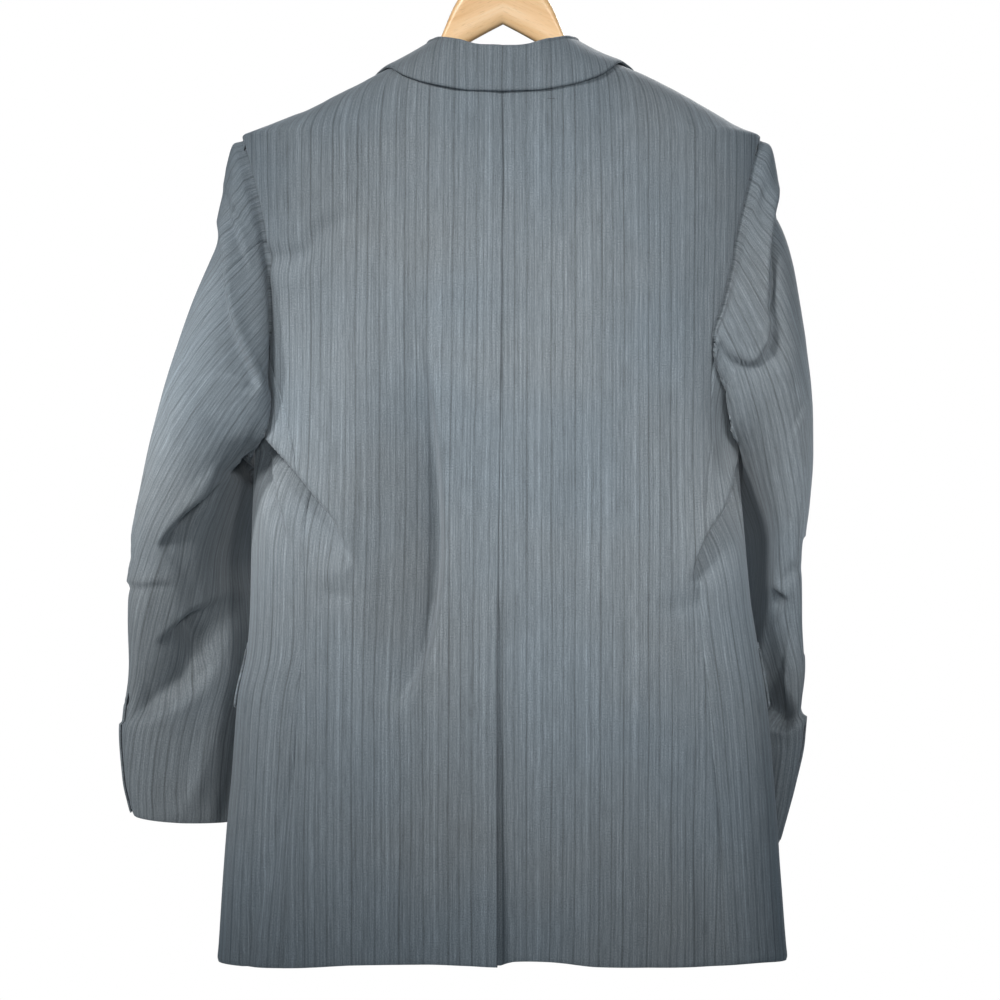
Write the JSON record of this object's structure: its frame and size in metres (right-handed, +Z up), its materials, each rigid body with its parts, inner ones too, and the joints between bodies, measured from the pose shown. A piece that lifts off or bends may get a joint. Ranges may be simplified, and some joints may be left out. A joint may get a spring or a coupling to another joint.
{
  "type": "two-button blazer on a wooden hanger",
  "caption": "Striped wool blazer with notch lapels, flap pockets, buttoned cuffs and a centre-back vent, hanging on a contoured wooden hanger with a steel hook.",
  "frame": {"origin": "inside top of the hanger's hook, where a rail carries it", "axes": "+Z up, +X to the wearer's right, the wearer's back faces -Y and the buttoned front faces +Y"},
  "size_m": [0.626, 0.2502, 0.9705],
  "materials": {
    "worsted": "blue-grey worsted with darker and lighter fine stripes, matt",
    "worsted_under": "the same striped worsted on the under sleeves and collar stand",
    "horn": "dark polished button resin with four thread holes",
    "beech": "pale beech, clear satin lacquer",
    "steel": "bright nickel-plated wire"
  },
  "bodies": {
    "root": {"back_left": "worsted", "back_right": "worsted", "side_left": "worsted", "side_right": "worsted", "front_left": "worsted", "front_right": "worsted", "sleeve_top_left": "worsted", "sleeve_top_right": "worsted", "lapel_left": "worsted", "lapel_right": "worsted", "hip_flap_left": "worsted", "hip_flap_right": "worsted", "collar_fall": "worsted", "sleeve_under_left": "worsted_under", "sleeve_under_right": "worsted_under", "collar_stand": "worsted_under", "front_button_1": "horn", "front_button_2": "horn", "cuff_button_left_1": "horn", "cuff_button_left_2": "horn", "cuff_button_left_3": "horn", "cuff_button_right_1": "horn", "cuff_button_right_2": "horn", "cuff_button_right_3": "horn", "hanger_body": "beech", "hanger_hook": "steel"}
  },
  "joints": []
}
